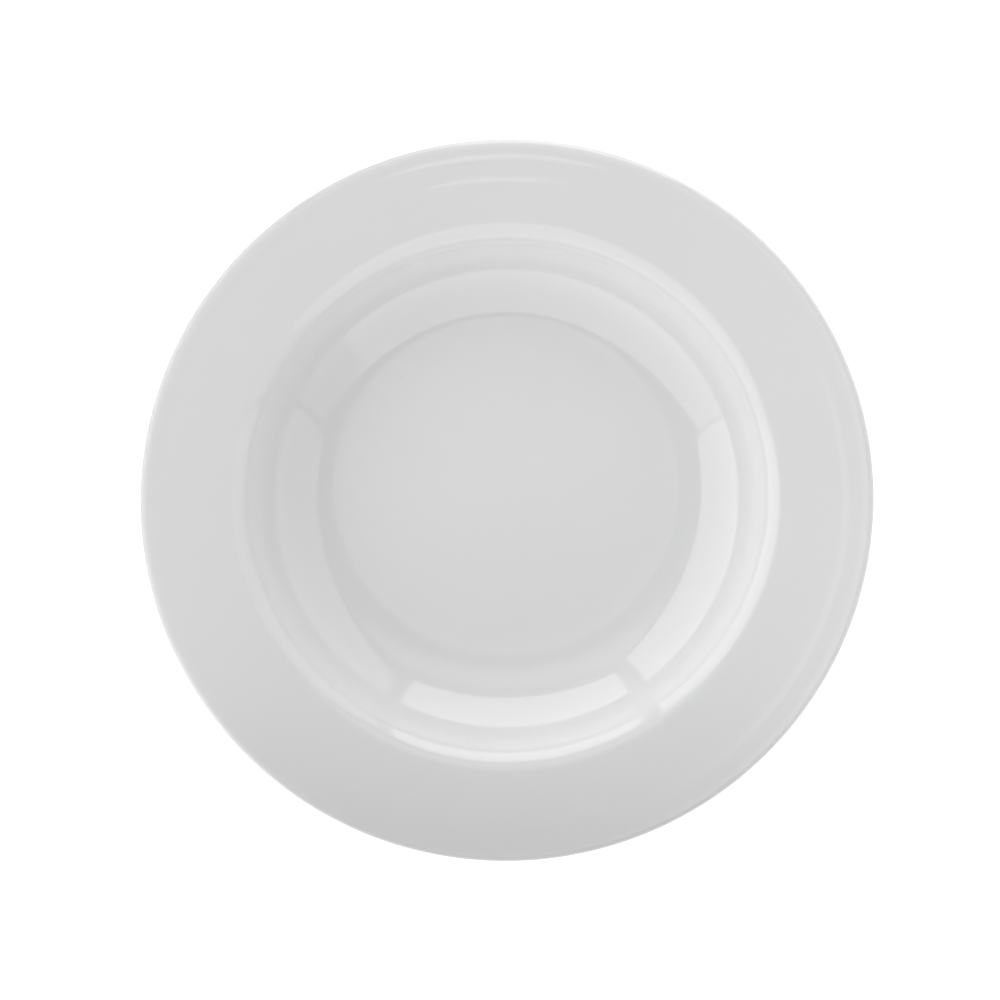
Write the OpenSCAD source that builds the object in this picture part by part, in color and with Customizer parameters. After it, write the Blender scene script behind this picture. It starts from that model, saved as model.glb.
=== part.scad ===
// A round, rimmed pasta plate of white porcelain, turned about the Z axis.
// It stands at z = 0 on the foot ring, which is wiped bare of glaze.

/* [Plate] */
// Diameter across the lip
plate_d = 300; // [280:1:330]
// Height from the table to the top of the lip
plate_h = 48; // [45:0.5:54]
// Radius of the full round on the lip
lip_r = 1.9; // [1.6:0.1:2.4]

/* [Well] */
// Diameter at which the rim turns down into the well
well_d = 216; // [206:1:226]
// Depth of the well, from that turn to the floor
well_depth = 31; // [27:0.5:34]
// Radius of the shoulder, where the rim turns down
shoulder_r = 13.5; // [10:0.5:17]
// Straight stretch of wall between the shoulder and the sweep
wall_flat = 0.6; // [0.3:0.1:5]
// Diameter at which the floor turns up into the wall
floor_d = 184; // [176:1:190]
// Diameter at which the level floor starts to rise
level_d = 90; // [76:1:104]
// Rise of the floor from there to the wall
floor_rise = 0.8; // [0.5:0.1:1.8]

/* [Thickness] */
// Thickness of the floor
base_t = 5; // [4.5:0.1:6.5]
// Thickness of the wall
wall_t = 5; // [4.2:0.1:6]
// Thickness of the rim at the shoulder
rim_t = 4.6; // [4.2:0.1:5.6]
// Radius in the corner under the shoulder
under_r = 12; // [8:0.5:15]

/* [Foot ring] */
// Diameter across the foot ring at the table
foot_d = 154; // [130:1:164]
// Width of the foot ring at the table
foot_w = 5; // [4:0.1:8]
// Depth of the recess inside the foot ring
recess = 3.5; // [3:0.1:5]
// Lean of the foot ring's sides, in degrees from upright
foot_lean = 12; // [5:1:16]
// Straight run of the underside beside the foot ring
foot_run = 4; // [3.5:0.1:8]
// Radius where the foot ring meets the underside
root_r = 1.8; // [1.2:0.1:2]
// Radius on the foot ring's bare edges
foot_edge_r = 0.9; // [0.6:0.1:1.1]

/* [Glaze] */
// Thickness of the glaze
glaze_t = 0.3; // [0.2:0.05:0.4]
// Height of the glaze's lower edge above the table
glaze_line = 1.2; // [1.1:0.05:1.3]
// Height in which the glaze thins out above that edge
glaze_fade = 0.7; // [0.4:0.05:0.8]

/* [Hidden] */
$fn = 88;

// Widest gap allowed between an arc and the straight steps that draw it
arc_gap = 0.01;
// Least run kept for the bend between the level floor and the rise
least_dish_run = 2;

// Points are [radius, height]. Angles are the slopes of lines, in degrees.
function cross_product(a, b) = a[0] * b[1] - a[1] * b[0];
function direction(angle) = [cos(angle), sin(angle)];
function slope(from, to) = atan2(to[1] - from[1], to[0] - from[0]);
function unit(v) = v / norm(v);
function reversed(list) = [for (i = [len(list) - 1 : -1 : 0]) list[i]];

// Point below a line of the given slope, at a distance square to it
function below(point, angle, distance) = point + distance * [sin(angle), -cos(angle)];

// Point where two sloping lines cross
function meet(p, p_slope, q, q_slope) =
    let (reach = cross_product(q - p, direction(q_slope)))
    p + direction(p_slope) * reach / cross_product(direction(p_slope), direction(q_slope));

// How far a round of radius r runs along each side of a corner that turns by an angle
function reach_of(r, turn) = r * tan(turn / 2);

// An arc is [centre, radius, side, start angle, turn].
// Its side is 1 where the outline is hollow and -1 where it bulges.
function corner(before, point, after, r) =
    let (
        u = unit(before - point),
        v = unit(after - point),
        half = acos(u * v) / 2,
        centre = point + unit(u + v) * r / sin(half),
        side = sign(cross_product(point - before, after - point)),
        start = slope(centre, point + u * r / tan(half))
    )
    [centre, r, side, start, side * (180 - 2 * half)];

// Points of an arc, moved into the porcelain by a depth
function arc_points(arc, depth) =
    let (steps = max(2, ceil(abs(arc[4]) / (2 * acos(1 - arc_gap / arc[1])))))
    [for (i = [0 : steps]) arc[0] + (arc[1] + arc[2] * depth) * direction(arc[3] + arc[4] * i / steps)];

function trace(arcs, depth) = [for (arc = arcs) each arc_points(arc, depth)];

// Face of the plate: corners of the glazed outline from the middle to the lip
floor_z = recess + base_t;
face_middle = [0, floor_z];
floor_edge = [level_d / 2, floor_z];
wall_foot = [floor_d / 2, floor_z + floor_rise];
wall_top = [well_d / 2, floor_z + well_depth];
lip_centre = [plate_d / 2 - lip_r, plate_h - lip_r];

rise_slope = slope(floor_edge, wall_foot);
wall_slope = slope(wall_foot, wall_top);
rim_slope = slope(wall_top, lip_centre) + asin(lip_r / norm(lip_centre - wall_top));

// The sweep takes the wall and the rise that the shoulder and the dish leave free
rise_run = norm(wall_foot - floor_edge);
wall_run = norm(wall_top - wall_foot) - wall_flat - reach_of(shoulder_r, wall_slope - rim_slope);
sweep_run = min(wall_run, rise_run - least_dish_run);
sweep_r = sweep_run / tan((wall_slope - rise_slope) / 2);
dish_r = (rise_run - sweep_run) / tan(rise_slope / 2);

dish = corner(face_middle, floor_edge, wall_foot, dish_r);
sweep = corner(floor_edge, wall_foot, wall_top, sweep_r);
shoulder = corner(wall_foot, wall_top, wall_top + direction(rim_slope), shoulder_r);

// Back of the plate: the rim thins to the lip, and the wall keeps one thickness
rim_back = below(wall_top, rim_slope, rim_t);
wall_back = below(wall_foot, wall_slope, wall_t);
back_slope = slope(rim_back, lip_centre) - asin(lip_r / norm(lip_centre - rim_back));
lip = [lip_centre, lip_r, -1, 90 + rim_slope, back_slope - rim_slope - 180];

back_r = sweep_r + wall_t;
run_end_slope = asin((foot_d / 2 + foot_run - sweep[0][0]) / back_r);
run_end = below(sweep[0], run_end_slope, back_r);
back_corner = meet(wall_back, wall_slope, rim_back, back_slope);
heel = meet(wall_back, wall_slope, run_end, run_end_slope);

under_shoulder = corner(back_corner + direction(back_slope), back_corner, heel, under_r);
under_sweep = corner(back_corner, heel, run_end, back_r);

// Foot ring: its bare edge is drawn one glaze too low, so that the porcelain stands at z = 0
foot_out = [foot_d / 2, -glaze_t];
foot_in = [foot_d / 2 - foot_w, -glaze_t];
recess_middle = [0, recess];
out_slope = 90 - foot_lean;
in_slope = 90 + foot_lean;
root_out = meet(run_end, run_end_slope, foot_out, out_slope);
root_in = meet(foot_in, in_slope, recess_middle, 0);
bare_r = foot_edge_r + glaze_t;

outer_root = corner(run_end, root_out, foot_out, root_r);
outer_edge = corner(root_out, foot_out, foot_in, bare_r);
inner_edge = corner(foot_out, foot_in, root_in, bare_r);
inner_root = corner(foot_in, root_in, recess_middle, root_r);

coat_arcs = [dish, sweep, shoulder, lip, under_shoulder, under_sweep, outer_root];
bare_arcs = [outer_edge, inner_edge];
well_arcs = [inner_root];

// Point on a side of the foot ring at a height, moved into the porcelain by a depth
function on_outer_side(z, depth) = meet([0, z], 0, foot_out - [depth / cos(foot_lean), 0], out_slope);
function on_inner_side(z, depth) = meet([0, z], 0, foot_in + [depth / cos(foot_lean), 0], in_slope);

glaze_full = glaze_line + glaze_fade;

module turned(outline) {
    rotate_extrude() polygon(outline);
}

// The fired body with its foot ring, bare where it stands
module porcelain_body() {
    color("ivory")
        turned(concat(
            [face_middle - [0, glaze_t]],
            trace(concat(coat_arcs, bare_arcs, well_arcs), glaze_t),
            [recess_middle + [0, glaze_t]]
        ));
}

// Glaze over the face, round the lip and down the back to the foot ring
module glaze_coat() {
    color("whitesmoke")
        turned(concat(
            [face_middle],
            trace(coat_arcs, 0),
            [on_outer_side(glaze_full, 0), on_outer_side(glaze_line, glaze_t)],
            reversed(trace(coat_arcs, glaze_t)),
            [face_middle - [0, glaze_t]]
        ));
}

// Glaze in the recess inside the foot ring
module foot_well_glaze() {
    color("white")
        turned(concat(
            [on_inner_side(glaze_line, glaze_t), on_inner_side(glaze_full, 0)],
            trace(well_arcs, 0),
            [recess_middle, recess_middle + [0, glaze_t]],
            reversed(trace(well_arcs, glaze_t))
        ));
}

porcelain_body();
glaze_coat();
foot_well_glaze();
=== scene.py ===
# %% [markdown]
# # A porcelain pasta plate
# The real plate is pressed from clay on a wheel, fired, dipped in glaze and fired again. Before the second
# firing its foot ring is wiped clean, so that it doesn't stick to the kiln shelf. This lesson makes the same
# three pieces: the porcelain body, the glaze coat that wraps it, and the glaze inside the foot ring. The
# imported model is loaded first. It gives every size, so nothing here is measured twice.

import math

import bmesh
import bpy
from mathutils import Matrix, Vector


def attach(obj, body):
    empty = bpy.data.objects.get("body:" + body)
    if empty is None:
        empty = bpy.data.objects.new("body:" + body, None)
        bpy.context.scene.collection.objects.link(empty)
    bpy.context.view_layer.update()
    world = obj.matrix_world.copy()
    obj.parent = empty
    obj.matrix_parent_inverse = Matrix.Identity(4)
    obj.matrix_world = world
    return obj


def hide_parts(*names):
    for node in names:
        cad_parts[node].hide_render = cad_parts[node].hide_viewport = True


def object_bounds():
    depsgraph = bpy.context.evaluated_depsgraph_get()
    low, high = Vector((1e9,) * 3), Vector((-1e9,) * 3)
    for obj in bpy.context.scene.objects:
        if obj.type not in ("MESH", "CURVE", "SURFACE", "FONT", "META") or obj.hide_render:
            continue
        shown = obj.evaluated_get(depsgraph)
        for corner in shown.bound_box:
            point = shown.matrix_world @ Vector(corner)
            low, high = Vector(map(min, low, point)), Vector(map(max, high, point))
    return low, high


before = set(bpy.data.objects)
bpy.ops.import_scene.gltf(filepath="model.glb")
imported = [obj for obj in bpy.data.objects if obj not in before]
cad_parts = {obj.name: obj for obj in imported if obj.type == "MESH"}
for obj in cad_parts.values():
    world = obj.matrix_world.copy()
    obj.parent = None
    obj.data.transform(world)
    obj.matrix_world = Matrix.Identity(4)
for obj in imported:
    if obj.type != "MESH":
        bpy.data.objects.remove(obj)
cad_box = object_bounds()
scene = bpy.context.scene
scene.view_settings.view_transform = "Standard"
print("plate", [round(v * 1000, 2) for v in cad_box[1] - cad_box[0]], "mm, nodes", sorted(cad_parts))


# %% [markdown]
# ## The camera
# The photograph looks down on the plate from far away, leaning a little over from the far side and a little
# from the left. From far away the two sides of the rim look almost the same width. The lens follows from the
# distance, so that the lip always fills the same share of the picture, and a small shift puts the plate in
# its place.

# %% Camera
LIP_SHARE = 0.3667
camera_away = 6.0
camera_lean = math.radians(10.27)
camera_side = math.radians(1.5)
lip_radius = cad_box[1].x
lip_height = cad_box[1].z

towards = Vector((-math.sin(camera_side), math.sin(camera_lean), math.cos(camera_lean))).normalized()
camera = bpy.data.objects.new("camera", bpy.data.cameras.new("camera"))
camera.location = towards * camera_away + Vector((0, 0, lip_height))
upward = (Vector((0, 1, 0)) - towards * towards.y).normalized()
camera.rotation_euler = Matrix((upward.cross(towards), upward, towards)).transposed().to_euler()
camera.data.lens = camera.data.sensor_width * LIP_SHARE * camera_away / lip_radius
camera.data.shift_x = -0.0074
camera.data.shift_y = 0.0027
scene.collection.objects.link(camera)
scene.camera = camera
print("lens", round(camera.data.lens, 1), "mm")


# %% [markdown]
# ## The light tent
# A glaze shows what it mirrors, so photographers build a tent of white cloth round a plate. The bright bands
# in the well are the tent's walls, and the dark gaps between the bands are corners where two walls don't
# meet. Each wall is an area light that stands at a compass angle and faces the plate. Two more hang above:
# one over the back of the tent, and a weak round one that the well's level floor mirrors to the camera. A
# lamp's power is worked out from the glow that its cloth should have, so that a wide panel isn't brighter
# than a narrow one. The places and glows were found by trial, until the bands lay where the photograph has
# them.


# %% Light tent
def cloth_light(name, width, height, glow, shape="RECTANGLE"):
    """An area light whose cloth glows evenly: a glow of 1 is as bright as white paper."""
    light = bpy.data.lights.new(name, "AREA")
    light.shape = shape
    light.size = width
    light.size_y = height
    filled = math.pi / 4 if shape == "ELLIPSE" else 1
    light.energy = math.pi * width * height * filled * glow
    lamp = bpy.data.objects.new(name, light)
    lamp.visible_camera = False
    scene.collection.objects.link(lamp)
    return lamp


def wall_panel(name, compass, away, start, end, top, glow):
    """A panel from the floor up, square to a compass angle, from a start to an end along its wall."""
    lamp = cloth_light(name, end - start, top, glow)
    angle = math.radians(compass)
    along = (start + end) / 2
    lamp.location = (
        away * math.cos(angle) - along * math.sin(angle),
        away * math.sin(angle) + along * math.cos(angle),
        top / 2,
    )
    lamp.rotation_euler = (math.pi / 2, 0, angle + math.pi / 2)


ROOF_HEIGHT = 1.8
wall_panel("back_panel", compass=87.8, away=1.2, start=-0.70, end=0.92, top=1.065, glow=2.09)
wall_panel("left_panel", compass=177, away=0.78, start=-0.80, end=0.50, top=1.035, glow=1.84)
wall_panel("front_panel", compass=272, away=0.60, start=-1.12, end=0.45, top=1.12, glow=1.36)
wall_panel("front_corner", compass=272, away=0.60, start=0.45, end=0.85, top=1.12, glow=0.75)
wall_panel("right_panel", compass=343.6, away=0.79, start=-0.22, end=2.10, top=1.22, glow=0.97)
roof = cloth_light("roof_panel", width=2.4, height=0.8, glow=0.55)
roof.location = (0, 1.0, ROOF_HEIGHT)
skylight = cloth_light("skylight", width=1.0, height=1.0, glow=0.7, shape="ELLIPSE")
skylight.location = (0, -0.33, ROOF_HEIGHT)

# %% [markdown]
# ## The floor and the white behind it
# The plate lies on plain pale paper, and the picture's background is pure white. More lamps would wash the
# glaze out, so the paper glows a little by itself instead, but only for rays that come from the camera or
# from a shiny surface. It glows least under the plate, so that the plate's true shadow shows there, and this
# weaker glow also paints shade under the plate. A third of a metre out it glows fully, because it has to
# stay white beyond the panels too, where no light falls on it.
# The world beyond the paper is white in the same way. The glaze mirrors that world wherever there is no
# panel. In a real tent there is dim cloth there, so a mirrored ray gets little more than half of the white.


# %% Tools for node trees
def feed(tree, value, socket):
    """Give a node's socket a plain value, or link it to another node's socket."""
    if isinstance(value, bpy.types.NodeSocket):
        tree.links.new(value, socket)
    else:
        socket.default_value = value


def add_node(tree, kind, operation=None, **inputs):
    """Add a node to a tree, with its operation and its inputs given by name."""
    node = tree.nodes.new(kind)
    if operation:
        node.operation = operation
    for name, value in inputs.items():
        feed(tree, value, node.inputs[name.replace("_", " ")])
    return node


def add_math(tree, operation, *values):
    """Add one step of arithmetic to a tree and return its result."""
    node = tree.nodes.new("ShaderNodeMath")
    node.operation = operation
    for socket, value in zip(node.inputs, values):
        feed(tree, value, socket)
    return node.outputs[0]


print("tools", [tool.__name__ for tool in (feed, add_node, add_math)])


# %% Paper floor
def seen_directly(tree, mirrored=1.0):
    """1 for rays from the camera, a share for rays from a mirror or glass, 0 for rays that carry light."""
    path = tree.nodes.new("ShaderNodeLightPath").outputs
    shiny = add_math(tree, "MAXIMUM", path["Is Glossy Ray"], path["Is Transmission Ray"])
    return add_math(tree, "MAXIMUM", path["Is Camera Ray"], add_math(tree, "MULTIPLY", shiny, mirrored))


PAPER_HALF = 3.0
SHADOW_GLOW = 0.2
SHADOW_REACH = 0.35
paper = bpy.data.materials.new("white_paper")
paper.use_nodes = True
sheet = paper.node_tree.nodes["Principled BSDF"]
sheet.inputs["Base Color"].default_value = (0.72, 0.72, 0.72, 1)
sheet.inputs["Roughness"].default_value = 0.9
sheet.inputs["Specular IOR Level"].default_value = 0.0
sheet.inputs["Emission Color"].default_value = (1, 1, 1, 1)
tree = paper.node_tree
from_middle = tree.nodes.new("ShaderNodeTexCoord").outputs["Object"]
away = add_node(tree, "ShaderNodeVectorMath", "LENGTH", Vector=from_middle).outputs["Value"]
# The glow falls off towards the plate: painted shade under it, on top of its true shadow.
glow = add_node(tree, "ShaderNodeMapRange", Value=away, From_Max=SHADOW_REACH, To_Min=SHADOW_GLOW)
paper_seen = add_math(tree, "MULTIPLY", seen_directly(tree), glow.outputs[0])
feed(tree, paper_seen, sheet.inputs["Emission Strength"])

corners = [(x * PAPER_HALF, y * PAPER_HALF, 0) for x, y in ((-1, -1), (1, -1), (1, 1), (-1, 1))]
floor_mesh = bpy.data.meshes.new("paper_floor")
floor_mesh.from_pydata(corners, [], [(0, 1, 2, 3)])
floor_mesh.materials.append(paper)
floor = bpy.data.objects.new("paper_floor", floor_mesh)
scene.collection.objects.link(floor)
print("floor", floor.name, "glows", SHADOW_GLOW, "under the plate")

# %% White world
MIRRORED_WORLD = 0.6
world = bpy.data.worlds.new("white_room")
world.use_nodes = True
backdrop = world.node_tree.nodes["Background"]
backdrop.inputs["Color"].default_value = (1, 1, 1, 1)
feed(world.node_tree, seen_directly(world.node_tree, MIRRORED_WORLD), backdrop.inputs["Strength"])
scene.world = world
print("world", world.name, "shows", MIRRORED_WORLD, "of its white in the glaze")

# %% [markdown]
# ## The grey cards
# In the photograph the near side of the rim grows darker towards its lip. A photographer gets such a shade
# with a flag: a card that hangs just out of the picture and keeps some of the light off the object. One is
# bent round the near lip, a little above it. A lower one stands behind the lip at the far left, whose round
# edge faces the two brightest panels and would melt into the white paper. The camera and the glaze's mirror
# don't see the cards, so that only their shade is left.

# %% Flags round the lip
BEND_STEP = 5
card = bpy.data.materials.new("grey_card")
card.use_nodes = True
card.node_tree.nodes["Principled BSDF"].inputs["Base Color"].default_value = (0.25, 0.25, 0.25, 1)


def bent_card(name, middle, radius, first, last, heights):
    """A card bent round a middle on the Y axis, between two compass angles and two heights."""
    bend = [math.radians(angle) for angle in range(first, last + 1, BEND_STEP)]
    edge = [(radius * math.cos(angle), middle + radius * math.sin(angle)) for angle in bend]
    strips = [(i, i + 1, len(bend) + i + 1, len(bend) + i) for i in range(len(bend) - 1)]
    mesh = bpy.data.meshes.new(name)
    mesh.from_pydata([(x, y, z) for z in heights for x, y in edge], [], strips)
    mesh.materials.append(card)
    flag = bpy.data.objects.new(name, mesh)
    flag.visible_camera = False
    flag.visible_glossy = False
    scene.collection.objects.link(flag)
    print(name, len(mesh.polygons), "faces")


bent_card("near_flag", middle=0.065, radius=0.245, first=235, last=300, heights=(0.065, 0.13))
bent_card("far_flag", middle=0.0, radius=0.185, first=100, last=205, heights=(0.042, 0.06))

# %% [markdown]
# ## The section
# A turned piece is the same all the way round, so one line holds its whole shape: radius against height.
# The loaded node is thousands of loose triangles. Swinging every corner round the axis into one flat plane
# and merging the doubles leaves just that line. Its long flats get extra points, because a smooth-shaded
# face bends its shading all the way to the next point, and the curves have points enough already.

# %% Section of a turned piece
FOLD_GAP = 2e-6
FLAT_RUN = 0.008
FLAT_STEP = 0.001


def section_line(node):
    """The node's section as points (radius, height), from the axis over the top side and back to it."""
    shape = bmesh.new()
    shape.from_mesh(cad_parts[node].data)
    for corner in shape.verts:
        corner.co = (math.hypot(corner.co.x, corner.co.y), 0, corner.co.z)
    bmesh.ops.remove_doubles(shape, verts=shape.verts, dist=FOLD_GAP)
    ends = [corner for corner in shape.verts if len(corner.link_edges) == 1]
    here = max(ends, key=lambda corner: corner.co.z)
    line, edge = [here.co.copy()], None
    while edge is None or len(here.link_edges) == 2:
        edge = next(e for e in here.link_edges if e is not edge)
        here = edge.other_vert(here)
        line.append(here.co.copy())
    shape.free()
    line = [Vector((0, 0, line[0].z))] + line + [Vector((0, 0, line[-1].z))]
    return [(point.x, point.z) for point in split_flats(line)]


def split_flats(line):
    """Add points along the stretches that are too long to be steps of a curve."""
    points = [line[0]]
    for start, end in zip(line, line[1:]):
        run = (end - start).length
        steps = math.ceil(run / FLAT_STEP) if run > FLAT_RUN else 1
        points += [start.lerp(end, i / steps) for i in range(1, steps + 1)]
    return points


sections = {node: section_line(node) for node in sorted(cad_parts)}
for node, line in sections.items():
    print(node, len(line), "points, widest", round(max(r for r, z in line) * 1000, 2), "mm")

# %% [markdown]
# ## The wheel
# A Screw modifier would turn the section too, but a node tree can also shape the line while it turns. The
# roller that presses the clay leaves a faint ripple on the rim, a few hundredths of a millimetre high. It
# can't be seen at the edge, but the far rim only just misses the mirrored front panel, and the crests tilt
# enough to catch it. They are the two faint streaks at the top of the photograph. So this tree lifts the
# section along its own normal where the ripple runs, lays it flat, and sweeps it round a small circle, the
# hub. The section is first moved inwards by the hub's radius, so that it still turns about the plate's axis.
# Last, the seam and the middle are closed.

# %% Wheel tree
wheel = bpy.data.node_groups.new("wheel", "GeometryNodeTree")
wheel.interface.new_socket("Section", in_out="INPUT", socket_type="NodeSocketGeometry")
wheel.interface.new_socket("Turn Steps", in_out="INPUT", socket_type="NodeSocketInt").default_value = 240
for label, value in (
    ("Ripple Height", 0.0),
    ("Ripple Length", 0.01),
    ("Ripple Start", 0.1334),
    ("Ripple From", 0.12),
    ("Ripple Full", 0.1434),
    ("Ripple To", 0.1477),
):
    wheel.interface.new_socket(label, in_out="INPUT", socket_type="NodeSocketFloat").default_value = value
wheel.interface.new_socket("Finish", in_out="INPUT", socket_type="NodeSocketMaterial")
wheel.interface.new_socket("Piece", in_out="OUTPUT", socket_type="NodeSocketGeometry")
given = wheel.nodes.new("NodeGroupInput").outputs
line = add_node(wheel, "GeometryNodeMeshToCurve", Mesh=given["Section"])
position = wheel.nodes.new("GeometryNodeInputPosition").outputs[0]
tangent = wheel.nodes.new("GeometryNodeInputTangent").outputs[0]
radius = add_node(wheel, "ShaderNodeSeparateXYZ", Vector=position).outputs["X"]
along = add_node(wheel, "ShaderNodeSeparateXYZ", Vector=tangent)
print("wheel inputs", [socket.name for socket in given if socket.name])

# %% Ripple of the roller
# At the lip the ripple dies out over this share of its length. It stays on the face, which is the first half
# of the section, and there on the rim, where the line runs mostly outwards.
FADE_SHARE = 0.25
FACE_HALF = 0.5
OUTWARD_RUN = 0.5


def between(tree, value, start, end):
    """0 at the start, 1 at the end, and even in between."""
    return add_node(tree, "ShaderNodeMapRange", Value=value, From_Min=start, From_Max=end).outputs[0]


fade = add_math(wheel, "MULTIPLY", given["Ripple Length"], FADE_SHARE)
outer = add_math(wheel, "SUBTRACT", given["Ripple To"], fade)
rise = between(wheel, radius, given["Ripple From"], given["Ripple Full"])
fall = between(wheel, radius, given["Ripple To"], outer)
on_rim = add_math(wheel, "MULTIPLY", rise, fall)
progress = wheel.nodes.new("GeometryNodeSplineParameter").outputs["Factor"]
outside = add_math(wheel, "LESS_THAN", progress, FACE_HALF)
outbound = add_math(wheel, "GREATER_THAN", along.outputs["X"], OUTWARD_RUN)
on_face = add_math(wheel, "MULTIPLY", outbound, outside)
past_start = add_math(wheel, "SUBTRACT", radius, given["Ripple Start"])
waves = add_math(wheel, "DIVIDE", past_start, given["Ripple Length"])
wave = add_math(wheel, "SINE", add_math(wheel, "MULTIPLY", waves, math.tau))
lift = add_math(wheel, "MULTIPLY", wave, given["Ripple Height"])
lift = add_math(wheel, "MULTIPLY", lift, add_math(wheel, "MULTIPLY", on_rim, on_face))
across = add_math(wheel, "MULTIPLY", along.outputs["Z"], -1.0)
outward = add_node(wheel, "ShaderNodeCombineXYZ", X=across, Z=along.outputs["X"])
raised = add_node(wheel, "ShaderNodeVectorMath", "SCALE", Vector=outward.outputs[0], Scale=lift)
rippled = add_node(wheel, "GeometryNodeSetPosition", Geometry=line.outputs[0], Offset=raised.outputs[0])
print("ripple from", wheel.interface.items_tree["Ripple From"].default_value, "m")

# %% Sweep round the hub
HUB = 0.05
SEAM_GAP = 1e-6
laid = add_node(wheel, "GeometryNodeTransform", Geometry=rippled.outputs[0])
laid.inputs["Translation"].default_value = (-HUB, 0, 0)
laid.inputs["Rotation"].default_value = (math.pi / 2, 0, 0)
circle = add_node(wheel, "GeometryNodeCurvePrimitiveCircle", Resolution=given["Turn Steps"], Radius=HUB)
swept = add_node(wheel, "GeometryNodeCurveToMesh", Curve=circle.outputs[0], Profile_Curve=laid.outputs[0])
closed = add_node(wheel, "GeometryNodeMergeByDistance", Geometry=swept.outputs[0], Distance=SEAM_GAP)
smooth = add_node(wheel, "GeometryNodeSetShadeSmooth", Geometry=closed.outputs[0])
real = add_node(wheel, "GeometryNodeRealizeInstances", Geometry=smooth.outputs[0])
dressed = add_node(wheel, "GeometryNodeSetMaterial", Geometry=real.outputs[0], Material=given["Finish"])
wheel.links.new(dressed.outputs[0], wheel.nodes.new("NodeGroupOutput").inputs["Piece"])
print("wheel", len(wheel.nodes), "nodes")


# %% Turn a piece
def turn(node, finish, **settings):
    """Turn a node's section on the wheel and return the plain piece that stands for the node."""
    line = sections[node]
    drawing = bpy.data.meshes.new(node + "_section")
    drawing.from_pydata([(r, 0, z) for r, z in line], [(i, i + 1) for i in range(len(line) - 1)], [])
    piece = bpy.data.objects.new("turned_" + node, drawing)
    scene.collection.objects.link(piece)
    lathe = piece.modifiers.new("wheel", "NODES")
    lathe.node_group = wheel
    sockets = {item.name: item.identifier for item in wheel.interface.items_tree if item.in_out == "INPUT"}
    lathe[sockets["Finish"]] = finish
    for name, value in settings.items():
        lathe[sockets[name.replace("_", " ")]] = value
    turned = bpy.data.meshes.new_from_object(piece.evaluated_get(bpy.context.evaluated_depsgraph_get()))
    piece.modifiers.clear()
    piece.data = turned
    turned.name = piece.name
    shell = bmesh.new()
    shell.from_mesh(turned)
    bmesh.ops.recalc_face_normals(shell, faces=shell.faces)
    volume = shell.calc_volume(signed=True)
    open_edges = sum(not edge.is_manifold for edge in shell.edges)
    shell.to_mesh(turned)
    shell.free()
    print(piece.name, f"{len(turned.polygons)} faces, {volume * 1e6:.2f} cm3, {open_edges} open edges")
    return piece

# %% [markdown]
# ## What the kiln leaves behind
# Three effects turn up in more than one finish, so each is a node group that is built once. Fired clay and
# glaze drift slowly in tone. Here and there a grain of iron burns to a speck. And every tool that touched
# the turning clay leaves rings about the axis. The groups put out plain values that vary over the surface,
# and each finish decides what to do with them: tint the colour, roughen the gloss or lift the surface.


# %% Drifting tone
def kiln_group(name, inputs, output):
    """An empty shader group with a Vector and some sizes going in and one value coming out."""
    group = bpy.data.node_groups.new(name, "ShaderNodeTree")
    group.interface.new_socket("Vector", in_out="INPUT", socket_type="NodeSocketVector")
    for label, value in inputs.items():
        socket = group.interface.new_socket(label, in_out="INPUT", socket_type="NodeSocketFloat")
        socket.default_value = value
    group.interface.new_socket(output, in_out="OUTPUT", socket_type="NodeSocketFloat")
    going_in = group.nodes.new("NodeGroupInput").outputs
    coming_out = group.nodes.new("NodeGroupOutput").inputs[output]
    return group, going_in, coming_out


def scaled(tree, vector, size):
    """The vector counted in steps of a size."""
    steps = add_math(tree, "DIVIDE", 1.0, size)
    return add_node(tree, "ShaderNodeVectorMath", "SCALE", Vector=vector, Scale=steps).outputs[0]


drift, given, out = kiln_group("tone_drift", {"Patch Size": 0.07}, "Drift")
patches = scaled(drift, given["Vector"], given["Patch Size"])
cloud = add_node(drift, "ShaderNodeTexNoise", Vector=patches, Scale=1.0, Detail=2.0)
soft = add_node(drift, "ShaderNodeMapRange", Value=cloud.outputs[0], From_Min=0.3, From_Max=0.7)
drift.links.new(soft.outputs[0], out)
print(drift.name, len(drift.nodes), "nodes")

# %% Iron specks
specks, given, out = kiln_group("iron_specks", {"Spacing": 0.02, "Size": 0.0003, "Share": 0.1}, "Speck")
grid = scaled(specks, given["Vector"], given["Spacing"])
cells = add_node(specks, "ShaderNodeTexVoronoi", Vector=grid, Scale=1.0)
reach = add_math(specks, "DIVIDE", given["Size"], given["Spacing"])
dot = add_node(specks, "ShaderNodeMapRange", Value=cells.outputs["Distance"], From_Min=reach, From_Max=0.0)
dot.interpolation_type = "SMOOTHSTEP"
draw = add_node(specks, "ShaderNodeSeparateColor", Color=cells.outputs["Color"])
kept = add_math(specks, "LESS_THAN", draw.outputs["Red"], given["Share"])
specks.links.new(add_math(specks, "MULTIPLY", dot.outputs[0], kept), out)
print(specks.name, len(specks.nodes), "nodes")

# %% Tool rings
rings, given, out = kiln_group("tool_rings", {"Ring Width": 0.0002, "Wander": 0.5}, "Ring")
level = add_node(rings, "ShaderNodeVectorMath", "MULTIPLY", Vector=given["Vector"])
level.inputs[1].default_value = (1, 1, 0)
radius = add_node(rings, "ShaderNodeVectorMath", "LENGTH", Vector=level.outputs[0])
sway = add_node(rings, "ShaderNodeTexNoise", Vector=given["Vector"], Scale=40.0, Detail=1.0)
steps = add_math(rings, "DIVIDE", radius.outputs["Value"], given["Ring Width"])
place = add_math(rings, "ADD", steps, add_math(rings, "MULTIPLY", sway.outputs[0], given["Wander"]))
groove = rings.nodes.new("ShaderNodeTexNoise")
groove.noise_dimensions = "1D"
groove.inputs["Scale"].default_value = 1.0
feed(rings, place, groove.inputs["W"])
rings.links.new(groove.outputs[0], out)
print(rings.name, len(rings.nodes), "nodes")
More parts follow.
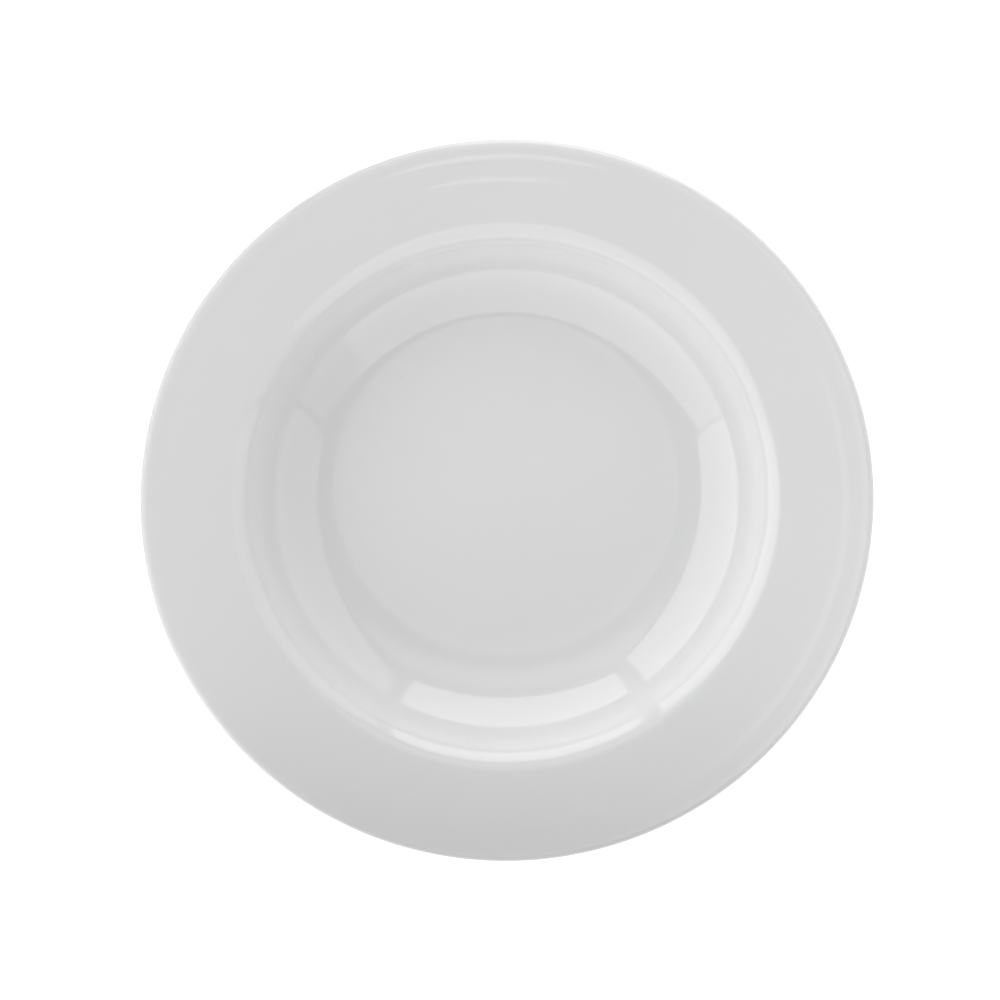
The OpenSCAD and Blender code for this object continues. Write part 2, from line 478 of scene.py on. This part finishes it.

# %% [markdown]
# ## The glaze
# Glaze is a thin glass over white clay: a pale colour below, a sharp mirror on top. In the kiln it runs. It
# stays thin on the steep wall and pools a shade cooler on level ground. The steep wall is painted a shade
# whiter, partly for its thin glaze and partly as painted light that brightens the wall. It is never quite
# flat either: it has the faint dimples of orange peel, and the roller's rings come through from the clay.
# These are only thousandths of a millimetre, so they go into a bump with its heights in metres. The coat
# and the recess take the same recipe with their own values: the recess was poured, and is a little less
# smooth.


# %% Tools for finishes
def kiln_node(tree, group, vector, **inputs):
    """Place one of the kiln's groups in a material and return its value."""
    node = tree.nodes.new("ShaderNodeGroup")
    node.node_tree = group
    feed(tree, vector, node.inputs["Vector"])
    for name, value in inputs.items():
        node.inputs[name.replace("_", " ")].default_value = value
    return node.outputs[0]


def blend_colours(tree, share, first, second):
    """Mix two colours by a share that varies over the surface."""
    node = tree.nodes.new("ShaderNodeMix")
    node.data_type = "RGBA"
    colours = [socket for socket in node.inputs if socket.type == "RGBA"]
    feed(tree, share, node.inputs["Factor"])
    feed(tree, first, colours[0])
    feed(tree, second, colours[1])
    return next(socket for socket in node.outputs if socket.type == "RGBA")


print("tools", [tool.__name__ for tool in (kiln_node, blend_colours)])

# %% Glaze
GLAZE_IOR = 1.55
GLAZED_IRON = (0.32, 0.27, 0.22, 1)
SPECK_DEPTH = 0.5


def glaze_finish(name, thin_and_lit, thick, gloss, rough, peel_height, ring_height):
    """A clear glaze over white clay, with its thin colour, whiter on steep walls as thin glaze and painted
    light, its thick colour, its gloss and its bumps.
    """
    finish = bpy.data.materials.new(name)
    finish.use_nodes = True
    tree = finish.node_tree
    surface = tree.nodes["Principled BSDF"]
    surface.inputs["IOR"].default_value = GLAZE_IOR
    coordinates = tree.nodes.new("ShaderNodeTexCoord").outputs
    where = coordinates["Object"]

    # Colour by slope: steep faces get the thin colour, which is partly thin glaze and partly painted light
    # that brightens the wall.
    upright = add_node(tree, "ShaderNodeSeparateXYZ", Vector=coordinates["Normal"]).outputs["Z"]
    level = add_node(tree, "ShaderNodeMapRange", Value=upright, From_Min=0.5, From_Max=0.95)
    clouds = kiln_node(tree, drift, where, Patch_Size=0.06)
    cloud = add_node(tree, "ShaderNodeMapRange", Value=clouds, To_Min=0.8, To_Max=1.0)
    pooling_and_wall_light = add_math(tree, "MULTIPLY", level.outputs[0], cloud.outputs[0])
    clean = blend_colours(tree, pooling_and_wall_light, thin_and_lit, thick)
    iron = kiln_node(tree, specks, where, Spacing=0.022, Size=0.00035, Share=0.07)
    speck = add_math(tree, "MULTIPLY", iron, SPECK_DEPTH)
    feed(tree, blend_colours(tree, speck, clean, GLAZED_IRON), surface.inputs["Base Color"])

    breath = kiln_node(tree, drift, where, Patch_Size=0.012)
    haze = add_node(tree, "ShaderNodeMapRange", Value=breath, To_Min=gloss, To_Max=rough)
    feed(tree, haze.outputs[0], surface.inputs["Roughness"])

    peel = add_math(tree, "MULTIPLY", kiln_node(tree, drift, where, Patch_Size=0.009), peel_height)
    pressed = kiln_node(tree, rings, where, Ring_Width=0.007, Wander=0.3)
    roller = add_math(tree, "MULTIPLY", pressed, ring_height)
    relief = add_math(tree, "ADD", peel, roller)
    bump = add_node(tree, "ShaderNodeBump", Strength=1.0, Distance=1.0, Height=relief)
    feed(tree, bump.outputs[0], surface.inputs["Normal"])
    print(name, len(tree.nodes), "nodes")
    return finish


coat_glaze = glaze_finish(
    "coat_glaze",
    thin_and_lit=(0.84, 0.84, 0.838, 1),
    thick=(0.8, 0.802, 0.802, 1),
    gloss=0.035,
    rough=0.06,
    peel_height=1.5e-6,
    ring_height=1e-6,
)
recess_glaze = glaze_finish(
    "recess_glaze",
    thin_and_lit=(0.81, 0.81, 0.805, 1),
    thick=(0.775, 0.78, 0.78, 1),
    gloss=0.06,
    rough=0.11,
    peel_height=3e-6,
    ring_height=1e-6,
)

# %% [markdown]
# ## The bare foot
# Where the glaze was wiped off, the porcelain shows as it left the kiln: matt, a shade warmer than the
# glaze, and ground flat so that it doesn't scratch a table. The grinding wheel leaves fine rings, and the
# edge it stands on turns grey where it has been slid over other plates. The rings are the same group as
# the roller's, only finer, and the grey follows the height above the table.

# %% Colour of the bare porcelain
BARE_IRON = (0.36, 0.3, 0.24, 1)
SCUFF_GREY = (0.52, 0.51, 0.49, 1)
SCUFF_DEPTH = 0.5
bare_porcelain = bpy.data.materials.new("bare_porcelain")
bare_porcelain.use_nodes = True
tree = bare_porcelain.node_tree
surface = tree.nodes["Principled BSDF"]
surface.inputs["IOR"].default_value = 1.5
where = tree.nodes.new("ShaderNodeTexCoord").outputs["Object"]
patch = kiln_node(tree, drift, where, Patch_Size=0.02)
warm = blend_colours(tree, patch, (0.83, 0.81, 0.77, 1), (0.79, 0.765, 0.72, 1))
height = add_node(tree, "ShaderNodeSeparateXYZ", Vector=where).outputs["Z"]
standing = add_node(tree, "ShaderNodeMapRange", Value=height, From_Min=0.0004, From_Max=0.0)
scratch = kiln_node(tree, rings, where, Ring_Width=0.0007, Wander=2.0)
scuffs = add_node(tree, "ShaderNodeMapRange", Value=scratch, From_Min=0.45, From_Max=0.75)
marks = add_math(tree, "MULTIPLY", standing.outputs[0], scuffs.outputs[0])
rubbed = add_math(tree, "MULTIPLY", marks, SCUFF_DEPTH)
worn = blend_colours(tree, rubbed, warm, SCUFF_GREY)
iron = kiln_node(tree, specks, where, Spacing=0.004, Size=0.00025, Share=0.15)
grain = add_math(tree, "MULTIPLY", iron, SPECK_DEPTH)
feed(tree, blend_colours(tree, grain, worn, BARE_IRON), surface.inputs["Base Color"])
print("colour of the foot", len(tree.nodes), "nodes")

# %% Surface of the bare porcelain
GRIND_HEIGHT = 1.2e-5
TOOTH_HEIGHT = 8e-6
polish = kiln_node(tree, drift, where, Patch_Size=0.004)
matt = add_node(tree, "ShaderNodeMapRange", Value=polish, To_Min=0.62, To_Max=0.8)
feed(tree, matt.outputs[0], surface.inputs["Roughness"])
grinding = kiln_node(tree, rings, where, Ring_Width=0.00018, Wander=0.6)
ground = add_math(tree, "MULTIPLY", grinding, GRIND_HEIGHT)
tooth = add_math(tree, "MULTIPLY", kiln_node(tree, drift, where, Patch_Size=0.0004), TOOTH_HEIGHT)
relief = add_math(tree, "ADD", ground, tooth)
bump = add_node(tree, "ShaderNodeBump", Strength=1.0, Distance=1.0, Height=relief)
feed(tree, bump.outputs[0], surface.inputs["Normal"])
print("bare_porcelain", len(tree.nodes), "nodes")

# %% [markdown]
# ## The pieces
# Each piece is turned from its own section, so the coat is a true shell that wraps the body and ends in a
# thin edge above the foot. Every piece stands for its node in the imported model, which is hidden, and
# rides on the plate's one body. Only the coat's face carries the roller's ripple.

# %% Turn the three pieces
body = turn("porcelain_body", bare_porcelain)
coat = turn("glaze_coat", coat_glaze, Ripple_Height=3.9e-5)
recess = turn("foot_well_glaze", recess_glaze)
for piece, node, slot in (
    (body, "porcelain_body", "porcelain"),
    (coat, "glaze_coat", "glaze"),
    (recess, "foot_well_glaze", "glaze"),
):
    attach(piece, "root")
    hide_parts(node)
print("pieces", [piece.name for piece in (body, coat, recess)])
